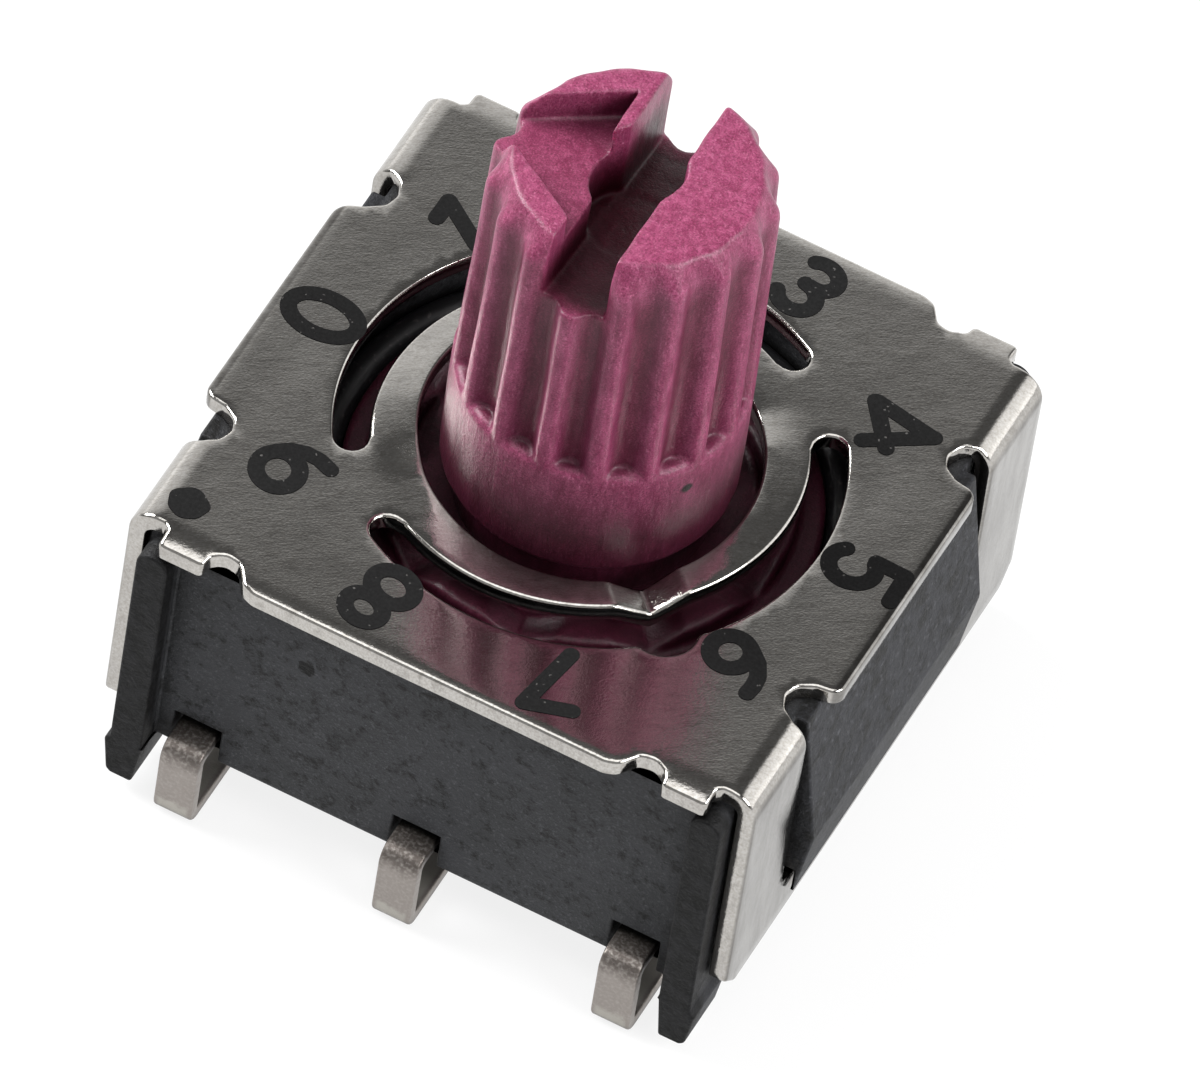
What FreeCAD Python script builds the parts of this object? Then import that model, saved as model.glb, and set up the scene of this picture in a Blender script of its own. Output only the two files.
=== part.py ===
"""Rotary coded switch: a ten-position surface-mount encoder with a knurled shaft.

Millimetres, +Z up. The origin is on the shaft axis, in the plane that the
solder feet stand on. -Y is the front, where the pins 1, C and 4 come out.
"""
import FreeCAD, Part
import math
import os

V = FreeCAD.Vector

# ---- driving dimensions -------------------------------------------------
PIN_PITCH = 2.54            # between neighbouring pins of a row
COVER_TOP = 4.10            # cover face above the board
SHAFT_RISE = 4.45           # shaft above the cover face
POSITIONS = 10              # detent positions in a turn

# spring cover, pressed from stainless sheet
SHEET = 0.20
TAB_X, TAB_Y = 3.67, 1.57           # plain side edges: reach, half length
TAB_ROUND = 0.22
EDGE_X, EDGE_Y = 2.22, 3.59         # plain front and rear edges
EDGE_ROUND = 0.14
PLATE_X, PLATE_Y = 3.27, 3.26       # flat part between the bends
LIP_IN, LIP_OUT, LIP_Y = 2.62, 3.15, 3.52
LIP_CREASE, LIP_DROP = 3.36, 0.07
EDGE_NOTCH = (2.43, 3.55, 0.21)     # relief beside each lip: x, y, radius
SIDE_NOTCH = (3.39, 1.86, 0.20)     # relief beside each flap leg
FLAP_X = 3.60                       # outer face of the side flaps
FLAP_IN = 2.08                      # inner edge of a flap leg
FLAP_FOOT = 0.90                    # lower edge of a flap
STRIP_TOP = 1.50                    # top of the strip that joins two legs
FLAP_CUT = 0.24                     # cut corner at the foot of a flap
HOLE_R = 1.78
RING_NEAR_R, RING_FAR_R = 2.13, 2.28    # detent ring at its noses and its bridges
SLOT_R = 2.64                           # outside of the slots round it
BRIDGE_AT, BRIDGE_HALF = 45.0, 14.8     # degrees, to the middle of a slot's end
NOSE_AT = -45.0
NOSE_HALF, NOSE_DROP, NOSE_RELIEF_R = 0.40, 0.22, 0.36

# housing, moulded in black
WALL_X, WALL_Y = 3.36, 3.22
WALL_FOOT, WALL_TOP = 0.64, COVER_TOP - SHEET
POST_IN, POST_FACE, POST_BACK = 3.00, 3.52, 2.80
POST_FOOT, FOOT_X, FOOT_TAPER = 0.19, 3.42, 0.06
LUG_Y, LUG_REACH = 1.90, 3.78
CAVITY_X, CAVITY_Y = 2.92, 2.77
LEDGE_TOP, LEDGE_FOOT = 3.05, 2.65
SEAL_BORE_R, ROTOR_BORE_R = 2.87, 2.56
REBATE = 0.14                       # height of the rebate over each pin

# rotor, moulded in magenta with its shaft
NECK_R, NECK_RISE = 1.36, -0.14
COLLAR_R, COLLAR_RISE = 1.55, 1.30
SHAFT_TIP_R, TIP_FLAT_R, TIP_CHAMFER = 1.50, 1.28, 0.32
FLUTES, FLUTE_R, FLUTE_AXIS_R, FLUTE_AT = 17, 0.215, 1.555, -55.9
ROTOR_R, ROTOR_FOOT, SHOULDER = 2.50, 2.70, 3.36
CROWN_IN, CROWN_OUT, CROWN_TOP, CROWN_DEPTH = 1.82, 2.22, 3.60, 0.20
SLOT_LEFT, SLOT_RIGHT = -0.30, 0.39
SLOT_DEPTH_FRONT, SLOT_DEPTH_REAR = 0.72, 1.26
CENTRE_R, ARROW_DEPTH = 0.48, 0.38
PIVOT_R, PIVOT_FOOT, PIVOT_CLEARANCE = 0.40, 1.54, 0.03

# seal, code disc, base and contacts
RING_SECTION_R = 0.17
DISC_IN, DISC_R, DISC_T = 0.90, 2.35, 0.10
BASE_FOOT, BASE_TOP, BOSS_R, BOSS_TOP = 0.86, 1.55, 0.80, 2.67
SEAL_FOOT = 0.72
LEAD_W, LEAD_T = 0.44, 0.16
LEAD_LEVEL = 0.92                   # underside of the leads inside the base
LEAD_FACE, LEAD_BEND, LEAD_END = 3.58, 0.22, 2.62
FINGER_W, FINGER_T, FINGER_ROOT = 0.36, 0.10, 2.52
TRACK_HALF = 0.09
# bit value: side of the pin along X and Y, distance of its finger from the X axis
BITS = {1: (-1, -1, 1.20), 2: (-1, 1, 1.50), 4: (1, -1, 1.80), 8: (1, 1, 2.05)}
FINGER_TIP_X, COMMON_TIP_X = 0.60, 1.02


# ---- helpers ------------------------------------------------------------
def box(x0, x1, y0, y1, z0, z1):
    return Part.makeBox(x1 - x0, y1 - y0, z1 - z0, V(x0, y0, z0))


def rod(radius, z0, z1, x=0.0, y=0.0):
    return Part.makeCylinder(radius, z1 - z0, V(x, y, z0))


def tube(inner, outer, z0, z1):
    return rod(outer, z0, z1).cut(rod(inner, z0, z1))


def prism(points, direction):
    """Solid swept along a vector from a closed outline of 3-D points."""
    wire = Part.makePolygon([V(*p) for p in points] + [V(*points[0])])
    return Part.Face(wire).extrude(V(*direction))


def turned(shape, degrees):
    copy = shape.copy()
    copy.rotate(V(0, 0, 0), V(0, 0, 1), degrees)
    return copy


def mirrored(shape, normal):
    return shape.mirror(V(0, 0, 0), V(*normal))


def fuse(*shapes):
    return shapes[0].multiFuse(list(shapes[1:])).removeSplitter()


def four_corners(shape):
    """The shape with its copies mirrored to the other three corners."""
    pair = [shape, mirrored(shape, (1, 0, 0))]
    return pair + [mirrored(s, (0, 1, 0)) for s in pair]


def sector(inner, outer, start, sweep, z0, z1):
    """Part of a flat ring, from the angle start over sweep degrees."""
    piece = Part.makeCylinder(outer, z1 - z0, V(0, 0, z0), V(0, 0, 1), sweep)
    piece = piece.cut(rod(inner, z0, z1)) if inner else piece
    return turned(piece, start)


def polar(radius, degrees):
    a = math.radians(degrees)
    return radius * math.cos(a), radius * math.sin(a)


def elbow(plane, at, height, radius, thickness, side, up, start, width):
    """Quarter bend of sheet in the XZ or YZ plane, swept from start over width.

    side and up (+1 or -1) say which quarter round the centre (at, height).
    """
    a0, a1 = sorted((at, at + side * radius))
    z0, z1 = sorted((height, height + up * radius))
    if plane == "YZ":
        centre, axis = V(start, at, height), V(1, 0, 0)
        quarter = box(start, start + width, a0, a1, z0, z1)
    else:
        centre, axis = V(at, start, height), V(0, 1, 0)
        quarter = box(a0, a1, start, start + width, z0, z1)
    outer = Part.makeCylinder(radius, width, centre, axis)
    inner = Part.makeCylinder(radius - thickness, width, centre, axis)
    return outer.cut(inner).common(quarter)


# ---- spring cover -------------------------------------------------------
def ring_blank():
    """Outline of the detent ring: a slim ellipse, narrow at its noses."""
    z0 = COVER_TOP - 3 * SHEET
    rim = Part.Wire([Part.Ellipse(V(0, 0, z0), RING_FAR_R, RING_NEAR_R).toShape()])
    return turned(Part.Face(rim).extrude(V(0, 0, 5 * SHEET)), BRIDGE_AT)


def arc_slot(start):
    """One of the two slots that free the detent ring, with round ends."""
    z0, z1 = COVER_TOP - 2 * SHEET, COVER_TOP + SHEET
    sweep = 180 - 2 * BRIDGE_HALF
    radius = (SLOT_R - RING_FAR_R) / 2
    ends = [rod(radius, z0, z1, *polar(SLOT_R - radius, a)) for a in (start, start + sweep)]
    return fuse(sector(0, SLOT_R, start, sweep, z0, z1).cut(ring_blank()), *ends)


def nose(angle):
    """The V pressed down into the detent ring, and the gap it replaces."""
    z, t, w, d = COVER_TOP, SHEET, NOSE_HALF, NOSE_DROP
    inner = HOLE_R - 0.3
    section = [(inner, y, h) for y, h in
               ((-w, z), (-0.05, z - d), (0.05, z - d), (w, z),
                (w, z - t), (0.09, z - d - t), (-0.09, z - d - t), (-w, z - t))]
    vee = prism(section, (1.2, 0, 0)).common(tube(HOLE_R, RING_NEAR_R, z - 1, z))
    gap = box(inner, RING_NEAR_R + 0.05, -w, w, z - t, z)
    relief = rod(NOSE_RELIEF_R, z - 2 * t, z + t, RING_NEAR_R + 0.32, 0)
    relief = relief.cut(turned(ring_blank(), -angle))
    return turned(vee, angle), turned(gap, angle), turned(relief, angle)


def flap_leg():
    """Leg at the +X, +Y corner: the bend and the wall below it."""
    radius = FLAP_X - PLATE_X
    bend = elbow("XZ", PLATE_X, COVER_TOP - radius, radius, SHEET, 1, 1,
                 FLAP_IN, PLATE_Y - FLAP_IN)
    wall = box(FLAP_X - SHEET, FLAP_X, FLAP_IN, PLATE_Y, FLAP_FOOT, COVER_TOP - radius)
    return fuse(bend, wall)


def flap_strip():
    """Strip along the foot of the +X flap that joins its two legs."""
    x, y, c, z = FLAP_X - SHEET, PLATE_Y, FLAP_CUT, FLAP_FOOT
    strip = box(x, FLAP_X, -y, y, z, STRIP_TOP)
    fillet = 0.15
    for s in (-1, 1):
        corner = box(x, FLAP_X, min(s * FLAP_IN, s * (FLAP_IN - fillet)),
                     max(s * FLAP_IN, s * (FLAP_IN - fillet)), STRIP_TOP, STRIP_TOP + fillet)
        round_off = Part.makeCylinder(fillet, 1, V(x - 0.2, s * (FLAP_IN - fillet),
                                                   STRIP_TOP + fillet), V(1, 0, 0))
        strip = fuse(strip, corner.cut(round_off))
    cuts = [prism([(x - 0.1, s * y, z), (x - 0.1, s * (y - c), z), (x - 0.1, s * y, z + c)],
                  (1, 0, 0)) for s in (-1, 1)]
    return strip, cuts


def corner_lip():
    """Lip at the +X, +Y corner of the cover, bent a little downwards."""
    z, t, y0 = COVER_TOP, SHEET, LIP_CREASE
    outline = [(LIP_IN, y0, z), (LIP_IN, LIP_Y, z - LIP_DROP),
               (LIP_IN, LIP_Y - 0.03, z - LIP_DROP - t), (LIP_IN, y0, z - t)]
    return prism(outline, (LIP_OUT - LIP_IN, 0, 0))


def relief(x, y, radius, outwards):
    """Round-ended relief cut into the cover's edge at the +X, +Y corner."""
    z0, z1 = COVER_TOP - 2 * SHEET, COVER_TOP + SHEET
    if outwards == "x":
        channel = box(x, x + 0.5, y - radius, y + radius, z0, z1)
    else:
        channel = box(x - radius, x + radius, y, y + 0.5, z0, z1)
    return fuse(rod(radius, z0, z1, x, y), channel)


def rounded_plate(half_x, half_y, radius):
    plate = box(-half_x, half_x, -half_y, half_y, COVER_TOP - SHEET, COVER_TOP)
    upright = [e for e in plate.Edges if abs(e.tangentAt(e.FirstParameter).z) > 0.9]
    return plate.makeFillet(radius, upright)


def spring_cover():
    z0, z1 = COVER_TOP - SHEET, COVER_TOP
    plate = box(-PLATE_X, PLATE_X, -PLATE_Y, PLATE_Y, z0, z1)
    apron = box(-LIP_OUT, LIP_OUT, -LIP_CREASE, LIP_CREASE, z0, z1)
    cover = fuse(plate, apron, rounded_plate(TAB_X, TAB_Y, TAB_ROUND),
                 rounded_plate(EDGE_X, EDGE_Y, EDGE_ROUND), *four_corners(corner_lip()))
    cover = cover.cut(four_corners(relief(*EDGE_NOTCH, "y")))
    cover = cover.cut(four_corners(relief(*SIDE_NOTCH, "x")))

    strip, cuts = flap_strip()
    flap = fuse(flap_leg(), mirrored(flap_leg(), (0, 1, 0)), strip).cut(cuts)
    cover = fuse(cover, flap, mirrored(flap, (1, 0, 0)))

    cover = cover.cut(rod(HOLE_R, z0 - 1, z1 + 1))
    start = BRIDGE_AT + BRIDGE_HALF
    cover = cover.cut([arc_slot(start), arc_slot(start + 180)])
    for angle in (NOSE_AT, NOSE_AT + 180):
        vee, gap, room = nose(angle)
        cover = fuse(cover.cut([gap, room]), vee)
    return cover


# ---- housing ------------------------------------------------------------
def corner_post():
    """Post at the +X, +Y corner: a rounded top and a foot under the flap."""
    x0, x1, half = POST_IN, WALL_X, (WALL_X - POST_IN) / 2
    top = WALL_TOP - 0.10
    post = box(x0, x1, POST_BACK, POST_FACE, WALL_FOOT + 0.1, top - half)
    dome = Part.makeCylinder(half, POST_FACE - POST_BACK, V(x0 + half, POST_BACK, top - half),
                             V(0, 1, 0))
    knee, step, taper, cut = WALL_FOOT + 0.05, FOOT_X - x1, FOOT_TAPER, 0.05
    outline = [(x0 + taper, POST_FOOT), (FOOT_X - taper - cut, POST_FOOT),
               (FOOT_X - taper, POST_FOOT + cut), (FOOT_X, knee), (x1, knee + step), (x0, knee + step)]
    foot = prism([(x, POST_BACK, z) for x, z in outline], (0, POST_FACE - POST_BACK, 0))
    return fuse(post, dome, foot)


def snap_lug():
    """Wedge on the +X wall; its lip hangs just outside the strip of the cover's flap."""
    x0, lip, reach = WALL_X - 0.1, FLAP_X + 0.03, LUG_REACH
    seat, foot = STRIP_TOP + 0.04, STRIP_TOP - 0.28
    outline = [(x0, seat), (lip, seat), (lip, foot), (lip + 0.03, foot), (reach, 2.10),
               (reach, 2.16), (WALL_X + 0.14, WALL_TOP), (x0, WALL_TOP)]
    return prism([(x, -LUG_Y, h) for x, h in outline], (0, 2 * LUG_Y, 0))


def pin_notches(side):
    """Openings in the foot of one pin wall, a rebate in front of each."""
    y0, y1 = sorted((side * (CAVITY_Y - 0.01), side * (WALL_Y + 0.01)))
    r0, r1 = sorted((side * (WALL_Y - 0.22), side * (WALL_Y + 0.01)))
    notches = []
    for x in (-PIN_PITCH, 0, PIN_PITCH):
        half = LEAD_W / 2
        notches += [box(x - half, x + half, y0, y1, WALL_FOOT - 0.01, LEAD_LEVEL + LEAD_T),
                    box(x - half - 0.05, x + half + 0.05, r0, r1, WALL_FOOT - 0.01,
                        LEAD_LEVEL + LEAD_T + REBATE)]
    return notches


def housing():
    block = box(-WALL_X, WALL_X, -WALL_Y, WALL_Y, WALL_FOOT, WALL_TOP)
    c, x = 0.12, WALL_X + 0.01
    bevels = [prism([(-x, s * WALL_Y, WALL_FOOT), (-x, s * (WALL_Y - c), WALL_FOOT),
                     (-x, s * WALL_Y, WALL_FOOT + c)], (2 * x, 0, 0)) for s in (-1, 1)]
    body = fuse(block.cut(bevels), *four_corners(corner_post()),
                snap_lug(), mirrored(snap_lug(), (1, 0, 0)))
    cavity = [box(-CAVITY_X, CAVITY_X, -CAVITY_Y, CAVITY_Y, WALL_FOOT - 0.01, LEDGE_FOOT),
              rod(ROTOR_BORE_R, LEDGE_FOOT - 0.01, LEDGE_TOP + 0.01),
              rod(SEAL_BORE_R, LEDGE_TOP, WALL_TOP + 0.01)]
    return body.cut(cavity + pin_notches(-1) + pin_notches(1))


# ---- rotor and what turns with it ---------------------------------------
def detent_crown():
    crown = tube(CROWN_IN, CROWN_OUT, SHOULDER - 0.1, CROWN_TOP)
    z, w, d = CROWN_TOP, NOSE_HALF, CROWN_DEPTH
    valley = prism([(CROWN_IN - 0.3, -w, z), (CROWN_IN - 0.3, 0, z - d), (CROWN_IN - 0.3, w, z)],
                   (1, 0, 0))
    lid = box(CROWN_IN - 0.3, CROWN_IN + 0.7, -w, w, z, z + 0.1)
    cutter = fuse(valley, lid)
    step = 360.0 / POSITIONS
    return crown.cut([turned(cutter, NOSE_AT + step * i) for i in range(POSITIONS)])


def shaft():
    """Neck under the cover, collar through its hole, fluted length, chamfered tip."""
    foot, start, top = (COVER_TOP + h for h in (NECK_RISE, COLLAR_RISE, SHAFT_RISE))
    neck, collar = rod(NECK_R, SHOULDER - 0.1, foot), rod(COLLAR_R, foot, start)
    cone = Part.makeCone(COLLAR_R, SHAFT_TIP_R, top - TIP_CHAMFER - start, V(0, 0, start))
    tip = Part.makeCone(SHAFT_TIP_R, TIP_FLAT_R, TIP_CHAMFER, V(0, 0, top - TIP_CHAMFER))
    flute = rod(FLUTE_R, start, top + 0.1, FLUTE_AXIS_R, 0)
    step = 360.0 / FLUTES
    body = fuse(neck, collar, cone, tip)
    return body.cut([turned(flute, FLUTE_AT + step * i) for i in range(FLUTES)])


def tip_recesses():
    """Screwdriver slot along Y, its round middle, and the arrow towards -X."""
    top = COVER_TOP + SHAFT_RISE
    reach, lid = 2, top + 0.1
    slot = prism([(SLOT_LEFT, -reach, lid), (SLOT_LEFT, -reach, top - SLOT_DEPTH_FRONT),
                  (SLOT_LEFT, reach, top - SLOT_DEPTH_REAR), (SLOT_LEFT, reach, lid)],
                 (SLOT_RIGHT - SLOT_LEFT, 0, 0))
    middle = rod(CENTRE_R, top - (SLOT_DEPTH_FRONT + SLOT_DEPTH_REAR) / 2, lid, 0.0, 0.05)
    wall = SLOT_LEFT - 0.14
    arrow = [(-1.75, -0.05), (SLOT_LEFT, -0.96), (SLOT_LEFT, 0.10), (wall, 0.16), (wall, 0.89)]
    arrow = prism([(x, y, top - ARROW_DEPTH) for x, y in arrow], (0, 0, ARROW_DEPTH + 0.1))
    return [slot, middle, arrow]


def rotor():
    disc = rod(ROTOR_R, ROTOR_FOOT, SHOULDER)
    pivot = rod(PIVOT_R, PIVOT_FOOT, ROTOR_FOOT)
    return fuse(disc, pivot, detent_crown(), shaft()).cut(tip_recesses())


def code_disc():
    """Contact ring with a window wherever a bit of the digit is open."""
    z0, z1 = ROTOR_FOOT - DISC_T, ROTOR_FOOT
    disc = tube(DISC_IN, DISC_R, z0, z1)
    step = 360.0 / POSITIONS
    windows = []
    for bit, (sx, sy, y) in BITS.items():
        radius = math.hypot(FINGER_TIP_X, y)
        finger = math.degrees(math.atan2(sy * y, sx * FINGER_TIP_X))
        for digit in range(POSITIONS):
            if not digit & bit:
                start = finger + step * digit - step / 2
                windows.append(sector(radius - TRACK_HALF, radius + TRACK_HALF,
                                      start + 1, step - 2, z0 - 0.01, z1 + 0.01))
    return disc.cut(windows)


def o_ring():
    middle = (ROTOR_R + SEAL_BORE_R) / 2
    return Part.makeTorus(middle, RING_SECTION_R, V(0, 0, LEDGE_TOP + RING_SECTION_R))


# ---- leads, base and bottom seal ----------------------------------------
def pin(x, inner_end):
    """J-shaped pin on the +Y side, its tail running in to inner_end."""
    x0, x1 = x - LEAD_W / 2, x + LEAD_W / 2
    level, t, r = LEAD_LEVEL + LEAD_T, LEAD_T, LEAD_BEND
    middle = LEAD_FACE - r
    return fuse(
        box(x0, x1, inner_end, middle, level - t, level),
        elbow("YZ", middle, level - r, r, t, 1, 1, x0, LEAD_W),
        box(x0, x1, LEAD_FACE - t, LEAD_FACE, r, level - r),
        elbow("YZ", middle, r, r, t, 1, -1, x0, LEAD_W),
        box(x0, x1, LEAD_END, middle, 0, t))


def contact_spring(y, tip_x):
    """Sprung finger on the +X side: foot on its lead, riser, arm and round tip."""
    y0, t = y - FINGER_W / 2, FINGER_T
    root, floor, rise = FINGER_ROOT, LEAD_LEVEL + LEAD_T, BASE_TOP + 0.35
    tip_z, r = ROTOR_FOOT - DISC_T - 0.03, 0.12
    foot = box(root, root + 0.20, y0, y0 + FINGER_W, floor, floor + t)
    riser = box(root, root + t, y0, y0 + FINGER_W, floor, rise)
    arm = prism([(root + t, y0, rise - t), (root + t, y0, rise),
                 (tip_x, y0, tip_z - 0.5 * r), (tip_x, y0, tip_z - 0.5 * r - t)],
                (0, FINGER_W, 0))
    tip = Part.makeCylinder(r, FINGER_W, V(tip_x, y0, tip_z - r), V(0, 1, 0))
    return fuse(foot, riser, arm, tip)


def to_side(shape, sx, sy):
    """A +X, +Y shape moved by mirroring to the side that sx and sy name."""
    shape = mirrored(shape, (1, 0, 0)) if sx < 0 else shape
    return mirrored(shape, (0, 1, 0)) if sy < 0 else shape


def leads():
    """The five stamped leads; the common one joins both middle pins."""
    parts = {"lead_%d" % bit: to_side(pin(PIN_PITCH, y - FINGER_W / 2), sx, sy)
             for bit, (sx, sy, y) in BITS.items()}
    rear = pin(0.0, 0.0)
    branch = box(-FINGER_ROOT - 0.20, 0, -FINGER_W / 2, FINGER_W / 2,
                 LEAD_LEVEL, LEAD_LEVEL + LEAD_T)
    parts["lead_common"] = fuse(rear, mirrored(rear, (0, 1, 0)), branch)
    return parts


def contact_springs():
    parts = {"contact_spring_%d" % bit: to_side(contact_spring(y, FINGER_TIP_X), sx, sy)
             for bit, (sx, sy, y) in BITS.items()}
    parts["contact_spring_common"] = to_side(contact_spring(0.0, COMMON_TIP_X), -1, 1)
    return parts


def base(metal):
    slab = box(-CAVITY_X, CAVITY_X, -CAVITY_Y, CAVITY_Y, BASE_FOOT, BASE_TOP)
    boss = rod(BOSS_R, BASE_FOOT, BOSS_TOP)
    bore = rod(PIVOT_R + PIVOT_CLEARANCE, PIVOT_FOOT - 0.04, BOSS_TOP + 0.1)
    return fuse(slab, boss).cut([bore] + metal)


def bottom_seal():
    return box(-CAVITY_X, CAVITY_X, -CAVITY_Y, CAVITY_Y, SEAL_FOOT, BASE_FOOT)


# ---- all nodes ----------------------------------------------------------
def build():
    metal = {**leads(), **contact_springs()}
    nodes = {
        "spring_cover": spring_cover(),
        "housing": housing(),
        "rotor": rotor(),
        "code_disc": code_disc(),
        "o_ring": o_ring(),
        "contact_base": base(list(metal.values())),
        "bottom_seal": bottom_seal(),
    }
    nodes.update(metal)
    return nodes


os.makedirs("parts", exist_ok=True)
for name, shape in build().items():
    solids = len(shape.Solids)
    if solids != 1 or not shape.isValid():
        print("CHECK", name, "solids", solids, "valid", shape.isValid())
    b = shape.BoundBox
    print("%-16s x %.2f %.2f  y %.2f %.2f  z %.2f %.2f" %
          (name, b.XMin, b.XMax, b.YMin, b.YMax, b.ZMin, b.ZMax))
    shape.exportStep("parts/%s.step" % name)
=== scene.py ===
import math

import bmesh
import bpy
import numpy as np
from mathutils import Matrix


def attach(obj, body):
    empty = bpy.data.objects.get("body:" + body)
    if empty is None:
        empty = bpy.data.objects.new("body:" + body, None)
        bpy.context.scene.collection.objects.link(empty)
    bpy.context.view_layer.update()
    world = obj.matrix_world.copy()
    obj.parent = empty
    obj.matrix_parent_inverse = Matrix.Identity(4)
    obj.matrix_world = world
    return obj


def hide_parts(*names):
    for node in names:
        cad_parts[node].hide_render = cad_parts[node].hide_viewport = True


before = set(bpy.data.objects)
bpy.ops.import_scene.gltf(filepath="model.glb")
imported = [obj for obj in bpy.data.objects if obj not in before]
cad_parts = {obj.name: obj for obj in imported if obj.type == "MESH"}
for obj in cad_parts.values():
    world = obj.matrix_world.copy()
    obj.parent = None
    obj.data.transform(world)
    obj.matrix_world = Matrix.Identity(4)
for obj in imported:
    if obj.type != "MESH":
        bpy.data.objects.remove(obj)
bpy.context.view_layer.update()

import openvdb
from mathutils import Quaternion, Vector
from mathutils.bvhtree import BVHTree
from mathutils.geometry import delaunay_2d_cdt

# Sizes are in millimetres, as in the CAD. The shaft's axis is Z, and the board is z = 0.
MM = 0.001
COVER_TOP, SHEET = 4.10, 0.20
# Spring cover
PLATE_X, PLATE_Y = 3.27, 3.26    # edge of the flat top at the flaps, and at the front and rear
BEND_R = 0.33                    # outer radius of the flaps' bends
FLAP_X = PLATE_X + BEND_R        # outer face of the flaps
HOLE_R, SLOT_OUT = 1.78, 2.64    # hole round the collar, outer edge of the arc slots
RING_FAR, RING_NEAR = 2.28, 2.13     # half axes of the detent ring's outer edge
BRIDGE = 14.8                    # half a bridge between ring and plate, in degrees
NOSE_AT, NOSE_HALF, NOSE_DROP = -45.0, 0.40, 0.22
# Rotor
TIP_TOP = COVER_TOP + 4.45
NECK_R, COLLAR_R, TIP_R = 1.36, 1.55, 1.50
COLLAR_FOOT, COLLAR_TOP = 3.94, 5.40
FLUTES, FLUTE_AT = 17, -55.9     # number of flutes, and the direction of one of them
FLUTE_R, FLUTE_AXIS, FLUTE_FOOT = 0.165, 1.53, 5.42
POSITIONS = 10
STEP = 360 / POSITIONS           # turn from one position to the next, in degrees
# Leads
LEAD_W, LEAD_T, LEAD_LEVEL = 0.44, 0.16, 0.92
LEAD_FACE, LEAD_END = 3.58, 2.62     # outer face of the legs, inner end of the feet
PIN_PITCH = 2.54


def placed(name, data):
    """A new object in the scene."""
    obj = bpy.data.objects.new(name, data)
    bpy.context.scene.collection.objects.link(obj)
    return obj


def direction(azimuth, elevation):
    """Unit vector from angles in degrees; azimuth 0 is in front and 90 is at +X."""
    a, e = math.radians(azimuth), math.radians(elevation)
    return Vector((math.sin(a) * math.cos(e), -math.cos(a) * math.cos(e), math.sin(e)))


def aim(obj, target, azimuth, elevation, distance, roll=0.0):
    """Stands obj at a distance from the target and points its -Z axis at it."""
    way = direction(azimuth, elevation)
    obj.location = (Vector(target) + way * distance) * MM
    obj.rotation_mode = "QUATERNION"
    level = (-way).to_track_quat("-Z", "Y")
    obj.rotation_quaternion = level @ Quaternion((0, 0, 1), math.radians(roll))


# ---- camera ---------------------------------------------------------------
def make_camera():
    """A long lens at the photo's angle, above the front and a little to the right."""
    data = bpy.data.cameras.new("camera")
    camera = placed("camera", data)
    aim(camera, (0.700, -1.152, COVER_TOP), azimuth=19.82, elevation=50.95, distance=263.0, roll=9.76)
    data.sensor_width, data.lens = 36.0, 776.66
    data.clip_start, data.clip_end = 0.01, 20.0
    bpy.context.scene.camera = camera


make_camera()


# ---- mesh helpers ---------------------------------------------------------
def mesh_object(name, points, faces, material):
    """A smooth mesh from points in millimetres."""
    mesh = bpy.data.meshes.new(name)
    mesh.from_pydata((np.asarray(points, float) * MM).tolist(), [],
                     [list(map(int, f)) for f in faces])
    mesh.update()
    mesh.polygons.foreach_set("use_smooth", [True] * len(mesh.polygons))
    mesh.materials.append(material)
    return placed(name, mesh)


def piece(obj, body, slot, *nodes):
    """Makes obj ride a body, in place of the CAD nodes named; slot is not used."""
    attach(obj, body)
    if nodes:
        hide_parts(*nodes)
    return obj


def smooth_min(a, b, k):
    """The smaller of two distances, blended where they differ by less than k."""
    h = np.clip(k - np.abs(a - b), 0, None) / k
    return np.minimum(a, b) - h * h * k / 4


def smooth_max(a, b, k):
    """The larger of two distances, blended where they differ by less than k."""
    return -smooth_min(-a, -b, k)


class Field:
    """A distance field on a grid, in millimetres, that becomes a mesh."""

    def __init__(self, low, high, step):
        self.low, self.step = np.array(low, np.float32), step
        axes = [np.arange(a, b + step, step, dtype=np.float32) for a, b in zip(low, high)]
        self.x, self.y, self.z = np.meshgrid(*axes, indexing="ij")

    def mesh(self, name, distance, material):
        grid = openvdb.FloatGrid(1.0)
        grid.copyFromArray(distance.astype(np.float32))
        points, quads = grid.convertToQuads(0.0)
        points = points * self.step + self.low
        a, b, c = (points[quads[:, i]] for i in range(3))
        if np.einsum("ij,ij->", a, np.cross(b, c)) < 0:
            quads = quads[:, ::-1]
        return mesh_object(name, points, quads, material)


def polygon_distance(x, y, corners):
    """Signed distance to a polygon, negative inside."""
    best = np.full(x.shape, 1e9, np.float32)
    sign = np.ones(x.shape, np.float32)
    previous = corners[-1]
    for (ax, ay) in corners:
        bx, by = previous
        ex, ey = bx - ax, by - ay
        wx, wy = x - ax, y - ay
        t = np.clip((wx * ex + wy * ey) / (ex * ex + ey * ey), 0, 1)
        best = np.minimum(best, (wx - ex * t) ** 2 + (wy - ey * t) ** 2)
        c1, c2, c3 = y >= ay, y < by, ex * wy > ey * wx
        flip = (c1 & c2 & c3) | (~c1 & ~c2 & ~c3)
        sign = np.where(flip, -sign, sign)
        previous = (ax, ay)
    return sign * np.sqrt(best)


def ripple(x, y, z, scale, amount, seed):
    """Smooth random undulation made of a few sine waves."""
    waves = np.random.default_rng(seed)
    total = 0.0
    for _ in range(7):
        k = waves.normal(0, scale, 3)
        total = total + np.sin(k[0] * x + k[1] * y + k[2] * z + waves.uniform(0, 6.28))
    return total * (amount / 3.5)


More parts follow.
